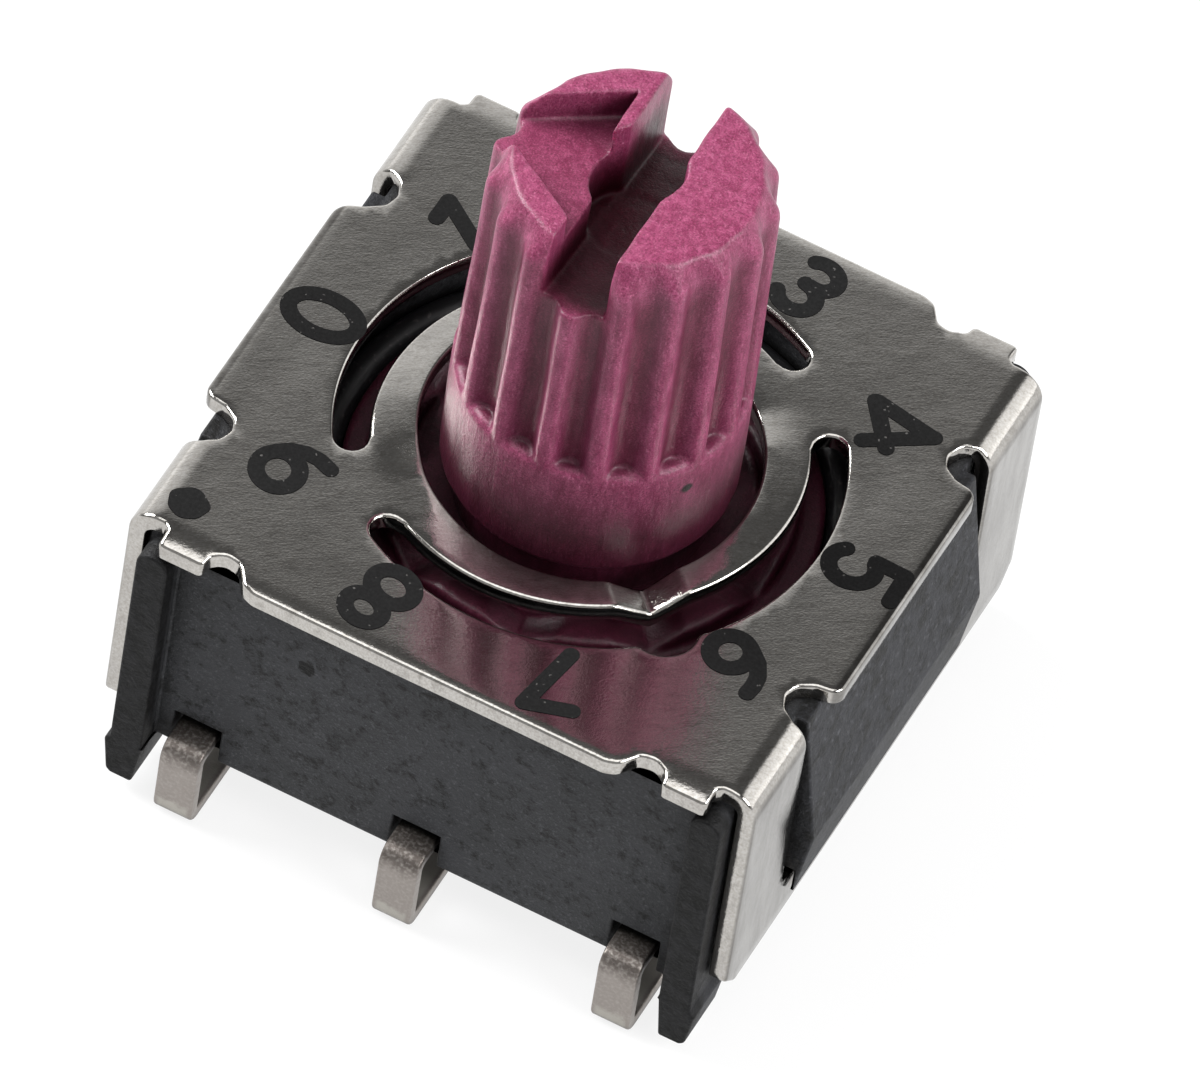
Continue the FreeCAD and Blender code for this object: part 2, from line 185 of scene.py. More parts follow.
# ---- materials ------------------------------------------------------------
class Paint:
    """A Principled material with short ways to add procedural detail."""

    def __init__(self, name):
        self.material = bpy.data.materials.new(name)
        self.material.use_nodes = True
        self.tree = self.material.node_tree
        self.tree.nodes.clear()
        output = self.tree.nodes.new("ShaderNodeOutputMaterial")
        self.shader = self.tree.nodes.new("ShaderNodeBsdfPrincipled")
        self.tree.links.new(self.shader.outputs[0], output.inputs[0])
        place = self.tree.nodes.new("ShaderNodeTexCoord")
        scale = self.node("ShaderNodeVectorMath", operation="SCALE")
        self.tree.links.new(place.outputs["Object"], scale.inputs[0])
        scale.inputs["Scale"].default_value = 1 / MM
        self.place = scale.outputs[0]
        self.bumps = None

    def node(self, kind, **values):
        """A new shader node with the properties given."""
        made = self.tree.nodes.new(kind)
        for key, value in values.items():
            setattr(made, key, value)
        return made

    def put(self, socket, value):
        """Links an output to the socket, or sets the socket to a constant."""
        if isinstance(value, bpy.types.NodeSocket):
            self.tree.links.new(value, socket)
        else:
            socket.default_value = value

    def set(self, **values):
        """Sets sockets of the Principled shader; underscores stand for spaces."""
        for key, value in values.items():
            self.put(self.shader.inputs[key.replace("_", " ")], value)

    def stretched(self, x, y, z):
        """Coordinates in millimetres, multiplied along each axis."""
        made = self.node("ShaderNodeVectorMath", operation="MULTIPLY")
        self.tree.links.new(self.place, made.inputs[0])
        made.inputs[1].default_value = (x, y, z)
        return made.outputs[0]

    def turned(self, degrees, x, y, z):
        """Coordinates turned about Z, then stretched."""
        made = self.node("ShaderNodeVectorRotate", rotation_type="Z_AXIS")
        self.tree.links.new(self.place, made.inputs["Vector"])
        made.inputs["Angle"].default_value = math.radians(-degrees)
        long = self.node("ShaderNodeVectorMath", operation="MULTIPLY")
        self.tree.links.new(made.outputs[0], long.inputs[0])
        long.inputs[1].default_value = (x, y, z)
        return long.outputs[0]

    def away(self, point, place=None):
        """Distance from a point, in millimetres."""
        made = self.node("ShaderNodeVectorMath", operation="DISTANCE")
        self.tree.links.new(place or self.place, made.inputs[0])
        made.inputs[1].default_value = point
        return made.outputs["Value"]

    def warped(self, scale, amount):
        """Coordinates shaken by noise, so that a round mark gets a ragged edge."""
        made = self.node("ShaderNodeTexNoise")
        self.tree.links.new(self.place, made.inputs["Vector"])
        made.inputs["Scale"].default_value = scale
        shift = self.node("ShaderNodeVectorMath", operation="MULTIPLY_ADD")
        self.tree.links.new(made.outputs["Color"], shift.inputs[0])
        shift.inputs[1].default_value = (amount, amount, amount)
        self.tree.links.new(self.place, shift.inputs[2])
        move = self.node("ShaderNodeVectorMath", operation="SUBTRACT")
        self.tree.links.new(shift.outputs[0], move.inputs[0])
        move.inputs[1].default_value = (amount / 2, amount / 2, amount / 2)
        return move.outputs[0]

    def noise(self, scale, detail=3.0, roughness=0.5, place=None, distortion=0.0):
        made = self.node("ShaderNodeTexNoise")
        self.tree.links.new(place or self.place, made.inputs["Vector"])
        made.inputs["Scale"].default_value = scale
        made.inputs["Detail"].default_value = detail
        made.inputs["Roughness"].default_value = roughness
        made.inputs["Distortion"].default_value = distortion
        return made.outputs["Fac"]

    def cells(self, scale, place=None):
        made = self.node("ShaderNodeTexVoronoi")
        self.tree.links.new(place or self.place, made.inputs["Vector"])
        made.inputs["Scale"].default_value = scale
        return made.outputs["Distance"]

    def axis(self, which):
        made = self.node("ShaderNodeSeparateXYZ")
        self.tree.links.new(self.place, made.inputs[0])
        return made.outputs[which]

    def span(self, value, low, high, to_low=0.0, to_high=1.0):
        """Maps the range low to high onto 0 to 1, and clamps it."""
        made = self.node("ShaderNodeMapRange")
        self.tree.links.new(value, made.inputs["Value"])
        limits = {"From Min": low, "From Max": high, "To Min": to_low, "To Max": to_high}
        for key, number in limits.items():
            made.inputs[key].default_value = number
        return made.outputs["Result"]

    def math(self, operation, a, b):
        made = self.node("ShaderNodeMath", operation=operation)
        self.put(made.inputs[0], a)
        self.put(made.inputs[1], b)
        return made.outputs[0]

    def mix(self, share, a, b, kind="MIX"):
        made = self.node("ShaderNodeMix", data_type="RGBA", blend_type=kind)
        self.put(made.inputs["Factor"], share)
        for key, value in (("A", a), ("B", b)):
            socket = [s for s in made.inputs if s.name == key and s.type == "RGBA"][0]
            self.put(socket, value if not isinstance(value, tuple) else (*value, 1.0))
        return [s for s in made.outputs if s.type == "RGBA"][0]

    def hollow_shade(self, reach, low, high):
        """Mask for painted shade: 0 deep in a hollow, rising to 1 where little stands within reach
        millimetres.
        """
        made = self.node("ShaderNodeAmbientOcclusion", samples=6)
        made.inputs["Distance"].default_value = reach * MM
        return self.span(made.outputs["AO"], low, high)

    def bump(self, height, depth):
        """Adds relief, depth millimetres deep, on top of the relief already there."""
        made = self.node("ShaderNodeBump")
        self.put(made.inputs["Height"], height)
        made.inputs["Distance"].default_value = depth * MM
        if self.bumps is not None:
            self.tree.links.new(self.bumps, made.inputs["Normal"])
        self.bumps = made.outputs[0]
        self.tree.links.new(self.bumps, self.shader.inputs["Normal"])


def steel():
    """Rolled stainless sheet: bright plate, worn flaps, painted shade in the folds."""
    p = Paint("cover_steel_look")
    grain = p.noise(30.0, 3.0, 0.6, p.turned(34, 1.0, 1.5, 1.0))
    rolled = p.noise(5.0, 5.0, 0.7, p.turned(34, 1.0, 3.2, 1.0))
    patches = p.noise(1.3, 4.0, 0.6)
    tone = p.mix(p.span(patches, 0.35, 0.7), (0.54, 0.525, 0.50), (0.46, 0.445, 0.425))
    tone = p.mix(p.span(rolled, 0.50, 0.72), tone, (0.375, 0.36, 0.34))
    streaks = p.noise(2.2, 5.0, 0.6, p.stretched(1.0, 1.5, 0.4))
    worn = p.mix(p.span(streaks, 0.30, 0.62), (0.16, 0.152, 0.141), (0.305, 0.297, 0.286))
    side = p.math("ABSOLUTE", p.axis("X"), 0.0)
    tone = p.mix(p.span(side, FLAP_X - 0.03, FLAP_X - 0.005), tone, worn)
    tone = p.mix(p.span(grain, 0.35, 0.75), tone, (0.76, 0.74, 0.71), "MULTIPLY")
    # Painted shade: brownish dark in the folds and hollows, where little light reaches.
    tone = p.mix(p.hollow_shade(0.22, 0.25, 0.62), (0.13, 0.10, 0.085), tone)
    p.set(Base_Color=tone, Metallic=1.0,
          Roughness=p.span(p.noise(22.0, 3.0), 0.3, 0.7, 0.065, 0.12))
    p.bump(grain, 0.0011)
    p.bump(rolled, 0.0012)
    p.bump(p.noise(3.0, 2.0), 0.002)
    return p.material


def housing_plastic():
    """Glass-filled black moulding: speckled walls, side walls painted darker as shade with scuffs on
    them, darker posts, a gate mark, painted shade in the hollows.
    """
    p = Paint("housing_plastic_look")
    fine = p.noise(34.0, 4.0, 0.65)
    broad = p.noise(1.1, 3.0, 0.6)
    worn = p.noise(7.0, 5.0, 0.7)
    body = p.mix(p.span(broad, 0.3, 0.7), (0.026, 0.027, 0.029), (0.036, 0.037, 0.041))
    wall = p.mix(p.span(fine, 0.54, 0.72), body, (0.085, 0.087, 0.093))
    wall = p.mix(p.span(worn, 0.52, 0.66), wall, (0.008, 0.008, 0.008))
    side = p.span(p.math("ABSOLUTE", p.axis("X"), 0.0), PLATE_X + 0.03, PLATE_X + 0.09)
    scuffs = p.noise(3.2, 6.0, 0.75, p.stretched(1.0, 0.8, 1.3), 0.6)
    # Painted shade: the side walls get a darker copy of the wall colour; the scuffs on them are wear.
    shaded_side_wall = p.mix(1.0, wall, (0.55, 0.55, 0.58), "MULTIPLY")
    scuffed_and_shaded = p.mix(p.span(scuffs, 0.50, 0.62), shaded_side_wall, (0.008, 0.008, 0.008))
    scuffed_and_shaded = p.mix(p.span(p.noise(12.0, 5.0, 0.7), 0.56, 0.72), scuffed_and_shaded, (0.060, 0.061, 0.068))
    wall = p.mix(side, wall, scuffed_and_shaded)
    post = p.span(p.math("ABSOLUTE", p.axis("Y"), 0.0), PLATE_Y + 0.02, PLATE_Y + 0.08)
    rough = p.mix(p.span(worn, 0.40, 0.62), (0.0, 0.0, 0.0), (0.008, 0.008, 0.009))
    tone = p.mix(post, wall, rough)
    gate = p.span(p.away((-1.45, -3.22, 2.85), p.warped(12.0, 0.14)), 0.085, 0.10)
    tone = p.mix(gate, (0.002, 0.002, 0.002), tone)
    # Painted shade: near black in the hollows and crevices.
    tone = p.mix(p.hollow_shade(0.35, 0.30, 0.85), (0.003, 0.003, 0.003), tone)
    p.set(Base_Color=tone, Roughness=p.span(fine, 0.3, 0.7, 0.46, 0.64), Specular_IOR_Level=0.18)
    p.bump(fine, 0.006)
    p.bump(worn, 0.022)
    return p.material


def rotor_plastic():
    """Magenta moulding: flow marks and grain, one speck, and painted shade in the hollows, the
    flutes, the slot and round the collar.
    """
    p = Paint("rotor_plastic_look")
    fibre = p.noise(42.0, 3.0, 0.6, p.stretched(1.0, 1.0, 0.35))
    flow = p.noise(9.0, 4.0, 0.62, p.stretched(1.0, 1.0, 0.30))
    cloud = p.noise(1.7, 4.0, 0.6, p.stretched(1.0, 1.0, 0.6))
    body = p.mix(p.span(cloud, 0.3, 0.7), (0.165, 0.020, 0.058), (0.225, 0.036, 0.090))
    tone = p.mix(p.span(flow, 0.42, 0.75), body, (0.33, 0.065, 0.140))
    tone = p.mix(p.span(fibre, 0.55, 0.80), tone, (0.42, 0.12, 0.205))
    grain = p.noise(48.0, 2.0, 0.7)
    tone = p.mix(p.span(grain, 0.30, 0.62, 0.75, 0.0), tone, (0.075, 0.004, 0.018))
    # Painted shade: darker in the hollows.
    tone = p.mix(p.hollow_shade(0.40, 0.10, 0.93), (0.062, 0.004, 0.016), tone)
    reach, height = p.away((0, 0, 0), p.stretched(1.0, 1.0, 0.0)), p.axis("Z")
    # Painted shade: the collar and what lies below it are painted darker, fading out just above the
    # collar's top.
    above_collar = p.span(height, COLLAR_TOP - 0.95, COLLAR_TOP + 0.10)
    tone = p.mix(above_collar, p.mix(1.0, tone, (0.22, 0.14, 0.17), "MULTIPLY"), tone)
    # Painted shade: the flutes' floors are painted darker, except near their foot and near the tip.
    ends = p.math("MAXIMUM", p.span(height, FLUTE_FOOT + 0.04, FLUTE_FOOT - 0.04),
                  p.span(height, TIP_TOP - 0.65, TIP_TOP - 0.30))
    ribs = p.math("MAXIMUM", p.span(reach, 1.38, 1.48), ends)
    tone = p.mix(ribs, p.mix(1.0, tone, (0.52, 0.38, 0.42), "MULTIPLY"), tone)
    # Painted shade: deep in the screwdriver slot and its well the colour is darker; elsewhere it is
    # the lit copy.
    open_top = p.math("MAXIMUM", p.span(height, TIP_TOP - 1.00, TIP_TOP - 0.25),
                      p.span(reach, 1.16, 1.34))
    lit = p.mix(1.0, tone, (0.92, 1.06, 1.03), "MULTIPLY")
    tone = p.mix(open_top, p.mix(1.0, tone, (0.40, 0.26, 0.30), "MULTIPLY"), lit)
    speck = p.span(p.away((1.365, -0.735, 5.04), p.warped(12.0, 0.08)), 0.05, 0.08)
    tone = p.mix(speck, (0.004, 0.003, 0.003), tone)
    satin = p.math("ADD", p.span(fibre, 0.3, 0.7, 0.30, 0.42),
                   p.span(height, COLLAR_TOP - 0.10, COLLAR_TOP + 0.05, 0.10, 0.0))
    p.set(Base_Color=tone, Roughness=satin, Specular_IOR_Level=0.30)
    p.set(Subsurface_Weight=0.08, Subsurface_Scale=0.00025, Subsurface_Radius=(1.0, 0.25, 0.4))
    p.bump(grain, 0.003)
    p.bump(fibre, 0.003)
    p.bump(flow, 0.010)
    return p.material


def lead_tin():
    """Tinned copper, with painted shade at the shoulder and in the hollows, and a brighter patch low
    on each leg.
    """
    p = Paint("lead_tin_look")
    mottle = p.noise(7.0, 5.0, 0.65)
    height = p.math("ADD", p.axis("Z"), p.span(mottle, 0.3, 0.7, -0.05, 0.05))
    across = p.math("PINGPONG", p.axis("X"), PIN_PITCH / 2)
    toe = p.math("MULTIPLY", p.span(height, 0.24, 0.30, 1.0, 0.0),
                 p.span(across, 0.15, 0.19, 1.0, 0.0))
    # Painted shade: from z 0.8 up, the shoulder and tail are painted darker.
    top = p.span(height, 0.80, 1.02)
    tone = p.mix(top, (0.29, 0.262, 0.242), (0.125, 0.108, 0.098))
    tone = p.mix(p.span(p.noise(26.0, 3.0), 0.45, 0.8), tone, (0.36, 0.335, 0.31))
    tone = p.mix(toe, tone, (0.40, 0.38, 0.345))
    # Painted shade: near black in the hollows.
    tone = p.mix(p.hollow_shade(0.30, 0.25, 0.75), (0.02, 0.018, 0.016), tone)
    p.set(Base_Color=tone, Metallic=0.85, Roughness=p.span(mottle, 0.3, 0.7, 0.36, 0.52))
    p.bump(mottle, 0.008)
    p.bump(p.noise(40.0, 3.0), 0.003)
    return p.material


def gold():
    """Gold plating over fine draw lines."""
    p = Paint("contact_gold_look")
    lines = p.noise(12.0, 3.0, 0.5, p.stretched(1.0, 4.0, 4.0))
    p.set(Base_Color=p.mix(p.span(lines, 0.3, 0.7), (0.72, 0.50, 0.20), (0.85, 0.64, 0.30)),
          Metallic=1.0, Roughness=p.span(lines, 0.3, 0.7, 0.22, 0.36))
    p.bump(lines, 0.002)
    return p.material


def rubber():
    """Black rubber with a little dust."""
    p = Paint("seal_rubber_look")
    dust = p.noise(14.0, 3.0)
    p.set(Base_Color=p.mix(p.span(dust, 0.62, 0.75), (0.010, 0.010, 0.011), (0.05, 0.045, 0.045)),
          Roughness=p.span(dust, 0.3, 0.7, 0.28, 0.45))
    p.bump(dust, 0.003)
    return p.material


def resin(name, dark, light, roughness):
    """A plain dark plastic or resin."""
    p = Paint(name)
    fine = p.noise(18.0, 4.0, 0.6)
    p.set(Base_Color=p.mix(p.span(fine, 0.3, 0.7), dark, light),
          Roughness=p.span(fine, 0.3, 0.7, roughness - 0.06, roughness + 0.08))
    p.bump(fine, 0.005)
    return p.material


def ink():
    """Black print with pinholes that show the steel."""
    p = Paint("print_ink_look")
    pin = p.span(p.cells(11.0, p.warped(14.0, 0.06)), 0.07, 0.15)
    cloud = p.span(p.noise(30.0, 3.0), 0.35, 0.75)
    body = p.mix(cloud, (0.003, 0.003, 0.003), (0.007, 0.007, 0.007))
    p.set(Base_Color=p.mix(pin, (0.065, 0.063, 0.06), body), Roughness=0.75)
    p.set(Specular_IOR_Level=0.12)
    p.bump(p.noise(24.0, 3.0), 0.003)
    return p.material


STEEL, HOUSING, ROTOR = steel(), housing_plastic(), rotor_plastic()
TIN, GOLD, RUBBER, INK = lead_tin(), gold(), rubber(), ink()
BASE = resin("base_plastic_look", (0.030, 0.031, 0.033), (0.045, 0.046, 0.05), 0.55)
SEAL = resin("seal_resin_look", (0.016, 0.016, 0.018), (0.030, 0.030, 0.032), 0.35)
NODE_LOOKS = {"spring_cover": STEEL, "housing": HOUSING, "rotor": ROTOR, "code_disc": GOLD,
              "o_ring": RUBBER, "contact_base": BASE, "bottom_seal": SEAL}
for name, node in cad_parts.items():
    look = NODE_LOOKS.get(name) or (TIN if name.startswith("lead") else GOLD)
    node.data.materials.clear()
    node.data.materials.append(look)


# ---- rotor ----------------------------------------------------------------
def shaft_radius(z):
    """Radius of the neck, the collar and the tapering fluted length."""
    return np.interp(z, [0, COLLAR_FOOT, COLLAR_FOOT + 0.03, COLLAR_TOP, TIP_TOP - 0.32],
                     [NECK_R, NECK_R, COLLAR_R, COLLAR_R, TIP_R])


def make_shaft():
    """Shaft with its flutes, the screwdriver slot and the arrow in its tip."""
    foot, reach = 3.30, COLLAR_R + 0.13
    f = Field((-reach, -reach, foot - 0.04), (reach, reach, TIP_TOP + 0.08), 0.025)
    x, y, z = f.x, f.y, f.z
    r, angle = np.hypot(x, y), np.degrees(np.arctan2(y, x))
    side = r - shaft_radius(z).astype(np.float32)
    chamfer = (r - 1.28) * 0.82 + (z - TIP_TOP) * 0.57
    body = smooth_max(smooth_max(side, z - TIP_TOP, 0.04), chamfer, 0.045)
    body = np.maximum(body, foot - z)

    pitch = 360.0 / FLUTES
    off = np.radians((angle - FLUTE_AT + pitch / 2) % pitch - pitch / 2)
    groove = np.hypot(r * np.cos(off) - FLUTE_AXIS, r * np.sin(off)) - FLUTE_R
    groove = smooth_max(groove, FLUTE_FOOT - z, 0.05)
    body = smooth_max(body, -groove, 0.13)

    slot_x, slot_half, well_r = 0.045, 0.345, 0.48
    floor = TIP_TOP - 0.99 - 0.135 * y
    slot = smooth_max(np.abs(x - slot_x) - slot_half, floor - z, 0.05)
    well = smooth_max(np.hypot(x, y - 0.05) - well_r, floor - z, 0.05)
    body = smooth_max(body, -smooth_min(slot, well, 0.04), 0.04)
    arrow_depth = 0.38
    arrow = polygon_distance(x, y, [(-1.75, -0.05), (-0.30, -0.96), (-0.30, 0.10),
                                    (-0.44, 0.16), (-0.44, 0.89)])
    arrow = smooth_max(arrow, TIP_TOP - arrow_depth - z, 0.05)
    body = smooth_max(body, -arrow, 0.035)
    body = body + ripple(x, y, z * 0.4, 5.0, 0.006, 3)
    shaft = f.mesh("shaft", body, ROTOR)
    return piece(shaft, "rotor_body", "rotor_plastic", "rotor")


def make_rotor_disc():
    """Disc under the cover, with the crown whose valleys the detent noses drop into."""
    disc_r, middle, half = 2.50, 3.03, 0.33
    crown_r, crown_half, crown_foot = 2.02, 0.20, 3.20
    crest, valley, valley_half = 3.60, 0.20, 0.40
    f = Field((-2.62, -2.62, 2.60), (2.62, 2.62, 3.72), 0.04)
    x, y, z = f.x, f.y, f.z
    r, angle = np.hypot(x, y), np.degrees(np.arctan2(y, x))
    disc = smooth_max(r - disc_r, np.abs(z - middle) - half, 0.05)
    off = np.radians((angle - NOSE_AT + STEP / 2) % STEP - STEP / 2)
    s = np.abs(r * np.sin(off))
    height = crest - valley * np.clip(1 - s / valley_half, 0, 1)
    crown = smooth_max(np.abs(r - crown_r) - crown_half, z - height, 0.05)
    crown = np.maximum(crown, crown_foot - z)
    body = smooth_min(disc, crown, 0.06)
    disc = f.mesh("rotor_disc", body, ROTOR)
    return piece(disc, "rotor_body", "rotor_plastic")


make_shaft()
make_rotor_disc()


# ---- spring cover ---------------------------------------------------------
# The cover is drawn as a flat blank and bent, so lengths along a flap start at the plate.
BEND_ARC = BEND_R * math.pi / 2
FLAP_END = PLATE_X + BEND_ARC + (COVER_TOP - BEND_R - 0.90)     # lower edge, at z = 0.90
STRIP_AT = PLATE_X + BEND_ARC + (COVER_TOP - BEND_R - 1.50)     # window's lower edge, at z = 1.50
RING_REACH = 2.36                # out to here, the bridges follow the ring's noses and crown
# How far the ring's inner edge stands above its outer edge: (direction in degrees, height).
RING_CROWN = [(0, 0.05), (30, 0.05), (45, 0.0), (60, 0.02), (90, 0.03), (120, 0.01), (140, 0.01),
              (165, 0.08), (195, 0.11), (212, 0.10), (225, 0.02), (240, 0.02), (265, 0.0),
              (335, 0.0), (360, 0.05)]


def rounded(corners):
    """Outline through (x, y, radius) corners, each rounded to its radius."""
    points = []
    count = len(corners)
    for i, (x, y, radius) in enumerate(corners):
        here = np.array((x, y))
        back = np.array(corners[i - 1][:2]) - here
        ahead = np.array(corners[(i + 1) % count][:2]) - here
        back_n, ahead_n = back / np.linalg.norm(back), ahead / np.linalg.norm(ahead)
        half = math.acos(np.clip(back_n @ ahead_n, -1, 1)) / 2
        if radius <= 0 or half > math.pi / 2 - 0.02:
            points.append(here)
            continue
        room = 0.49 * min(np.linalg.norm(back), np.linalg.norm(ahead))
        reach = min(radius / math.tan(half), room)
        radius = reach * math.tan(half)
        inward = (back_n + ahead_n) / np.linalg.norm(back_n + ahead_n)
        middle = here + inward * radius / math.sin(half)
        a = here + back_n * reach - middle
        b = here + ahead_n * reach - middle
        turn = math.atan2(a[0] * b[1] - a[1] * b[0], a @ b)
        steps = max(3, int(abs(turn) * radius / 0.035) + 2)
        for s in np.linspace(0, 1, steps):
            c, n = math.cos(turn * s), math.sin(turn * s)
            points.append(middle + np.array((a[0] * c - a[1] * n, a[0] * n + a[1] * c)))
    return np.array(points)


def resampled(loop, spacing):
    """The same closed outline with no edge longer than spacing."""
    made = []
    for a, b in zip(loop, np.roll(loop, -1, axis=0)):
        gap = np.linalg.norm(b - a)
        if gap < 1e-5:
            continue
        parts = max(1, math.ceil(gap / spacing))
        made += [a + (b - a) * k / parts for k in range(parts)]
    return np.array(made)


def all_quadrants(corners):
    """A closed outline from its first-quadrant corners, from +X round to +Y."""
    first = list(corners)
    second = [(-x, y, r) for x, y, r in reversed(first)]
    third = [(-x, -y, r) for x, y, r in first]
    fourth = [(x, -y, r) for x, y, r in reversed(first)]
    return first + second + third + fourth


def cover_outline():
    """Blank of the cover: flaps at both sides, a lip with a nick beside each corner."""
    cut = 0.24
    return rounded(all_quadrants([
        (FLAP_END, PLATE_Y - cut, 0.08), (FLAP_END - cut, PLATE_Y, 0.08),
        (3.21, PLATE_Y, 0.05), (3.15, 3.31, 0.04), (3.15, 3.52, 0.06), (2.63, 3.52, 0.06),
        (2.61, 3.38, 0.10), (2.46, 3.30, 0.14), (2.30, 3.33, 0.12), (2.16, 3.54, 0.16),
        (2.02, 3.59, 0.20)]))


def window_outline(side):
    """Window in a flap, with the tab above it and a round notch at each end of its bend."""
    half = [(3.67, 1.55, 0.22), (3.40, 1.59, 0.10), (3.24, 1.69, 0.12), (3.195, 1.83, 0.12),
            (3.26, 2.00, 0.12), (3.42, 2.08, 0.10), (STRIP_AT, 2.08, 0.15)]
    lower = [(x, -y, r) for x, y, r in reversed(half)]
    if side < 0:      # the rear left notch is wider in the photo
        half[:3] = [(3.67, 1.40, 0.30), (3.42, 1.52, 0.15), (3.24, 1.66, 0.12)]
    return rounded([(side * x, y, r) for x, y, r in half + lower])


def ring_edge(degrees):
    """Outer radius of the detent ring, a slim ellipse."""
    a = math.radians(degrees - NOSE_AT - 90)
    return 1 / math.hypot(math.cos(a) / RING_FAR, math.sin(a) / RING_NEAR)


def nose_angle(degrees):
    """Angle from the nearer of the two detent noses, in radians."""
    return np.radians((degrees - NOSE_AT + 90) % 180 - 90)


def slot_edge(degrees):
    """Outer radius of a slot, with its relief behind the nose."""
    off = nose_angle(degrees)
    centre, radius = 2.45, 0.36
    inside = radius ** 2 - (centre * math.sin(off)) ** 2
    return max(SLOT_OUT, centre * math.cos(off) + math.sqrt(inside)) if inside > 0 else SLOT_OUT


def polar(radius, degrees):
    a = math.radians(degrees)
    return np.array((radius * math.cos(a), radius * math.sin(a)))


def slot_outline(bridge):
    """Arc slot from the bridge in this direction to the bridge half a turn on."""
    start, end = bridge + BRIDGE, bridge + 180 - BRIDGE
    cap_r = (SLOT_OUT - RING_FAR) / 2
    middle = SLOT_OUT - cap_r
    angles = np.linspace(start, end, 130)
    outer = [polar(slot_edge(a), a) for a in angles]
    inner = [polar(ring_edge(a), a) for a in angles[::-1]]
    caps = []
    for at, sign in ((end, 1), (start, -1)):
        for t in np.linspace(0.15, math.pi - 0.15, 9):
            radial = cap_r * math.cos(t) * sign
            along = cap_r * math.sin(t) * sign
            tangent = np.array((-math.sin(math.radians(at)), math.cos(math.radians(at))))
            caps.append(polar(middle + radial, at) + tangent * along)
    return np.array(outer + caps[:9] + inner + caps[9:])


def inside_loop(points, loop):
    """Tells for each point whether it lies inside the closed outline."""
    x, y = points[:, 0], points[:, 1]
    inside = np.zeros(len(points), bool)
    for a, b in zip(loop, np.roll(loop, -1, axis=0)):
        crosses = (a[1] > y) != (b[1] > y)
        with np.errstate(divide="ignore", invalid="ignore"):
            at = (b[0] - a[0]) * (y - a[1]) / (b[1] - a[1]) + a[0]
        inside ^= crosses & (x < at)
    return inside


def area(loop):
    """Signed area of an outline, positive when it runs counterclockwise."""
    nxt = np.roll(loop, -1, axis=0)
    return 0.5 * np.sum(loop[:, 0] * nxt[:, 1] - loop[:, 1] * nxt[:, 0])


def inset(loop, distance):
    """Moves each point sideways by distance, to the left of its direction."""
    ahead = np.roll(loop, -1, axis=0) - loop
    behind = loop - np.roll(loop, 1, axis=0)
    ahead /= np.linalg.norm(ahead, axis=1)[:, None]
    behind /= np.linalg.norm(behind, axis=1)[:, None]
    way = ahead + behind
    way /= np.linalg.norm(way, axis=1)[:, None] + 1e-9
    return loop + np.stack([-way[:, 1], way[:, 0]], 1) * distance


def blank(outer, holes, thickness, top_round, foot_round, grid_points):
    """Flat sheet with rounded edges, its top at z = 0: its points and faces."""
    loops = [outer if area(outer) > 0 else outer[::-1]]
    loops += [h if area(h) < 0 else h[::-1] for h in holes]
    profile = [(top_round * (1 - math.sin(t)), -top_round * (1 - math.cos(t)))
               for t in np.linspace(0, math.pi / 2, 5)]
    profile += [(foot_round * (1 - math.sin(t)), foot_round * (1 - math.cos(t)) - thickness)
                for t in np.linspace(math.pi / 2, 0, 4)]
    levels = [[inset(loop, inward) for loop in loops] for inward, _ in profile]

    top = np.concatenate(levels[0])
    keep = inside_loop(grid_points, levels[0][0])
    for hole in levels[0][1:]:
        keep &= ~inside_loop(grid_points, hole)
    grid_points = grid_points[keep]
    near = np.array([np.min(np.sum((top - p) ** 2, axis=1)) for p in grid_points])
    grid_points = grid_points[near > 0.035 ** 2]
    edges, start = [], 0
    for loop in loops:
        n = len(loop)
        edges += [(start + i, start + (i + 1) % n) for i in range(n)]
        start += n
    rim = start
    flat = np.concatenate([top, grid_points])
    vertices, _, faces, origin, _, _ = delaunay_2d_cdt(
        [Vector(p) for p in flat], edges, [], 1, 1e-7)
    assert len(vertices) == len(flat), "outline points merged"
    order = [o[0] for o in origin]
    faces = np.array([[order[i] for i in f] for f in faces])
    middle = flat[faces].mean(axis=1)
    solid = np.ones(len(faces), bool)
    for hole in levels[0][1:]:
        solid &= ~inside_loop(middle, hole)
    faces = faces[solid]

    points = [np.c_[flat, np.zeros(len(flat))]]
    made = [list(f) for f in faces]
    previous, base = np.arange(rim), len(flat)
    for level, (_, z) in zip(levels[1:], profile[1:]):
        ring = np.concatenate(level)
        points.append(np.c_[ring, np.full(len(ring), z)])
        now = base + np.arange(rim)
        start = 0
        for loop in loops:
            n = len(loop)
            for i in range(n):
                a, b = start + i, start + (i + 1) % n
                made.append([previous[b], previous[a], now[a], now[b]])
            start += n
        previous, base = now, base + rim
    points.append(np.c_[grid_points, np.full(len(grid_points), -thickness)])
    bottom = np.concatenate([previous, base + np.arange(len(grid_points))])
    made += [[bottom[f[2]], bottom[f[1]], bottom[f[0]]] for f in faces]
    return np.concatenate(points), made


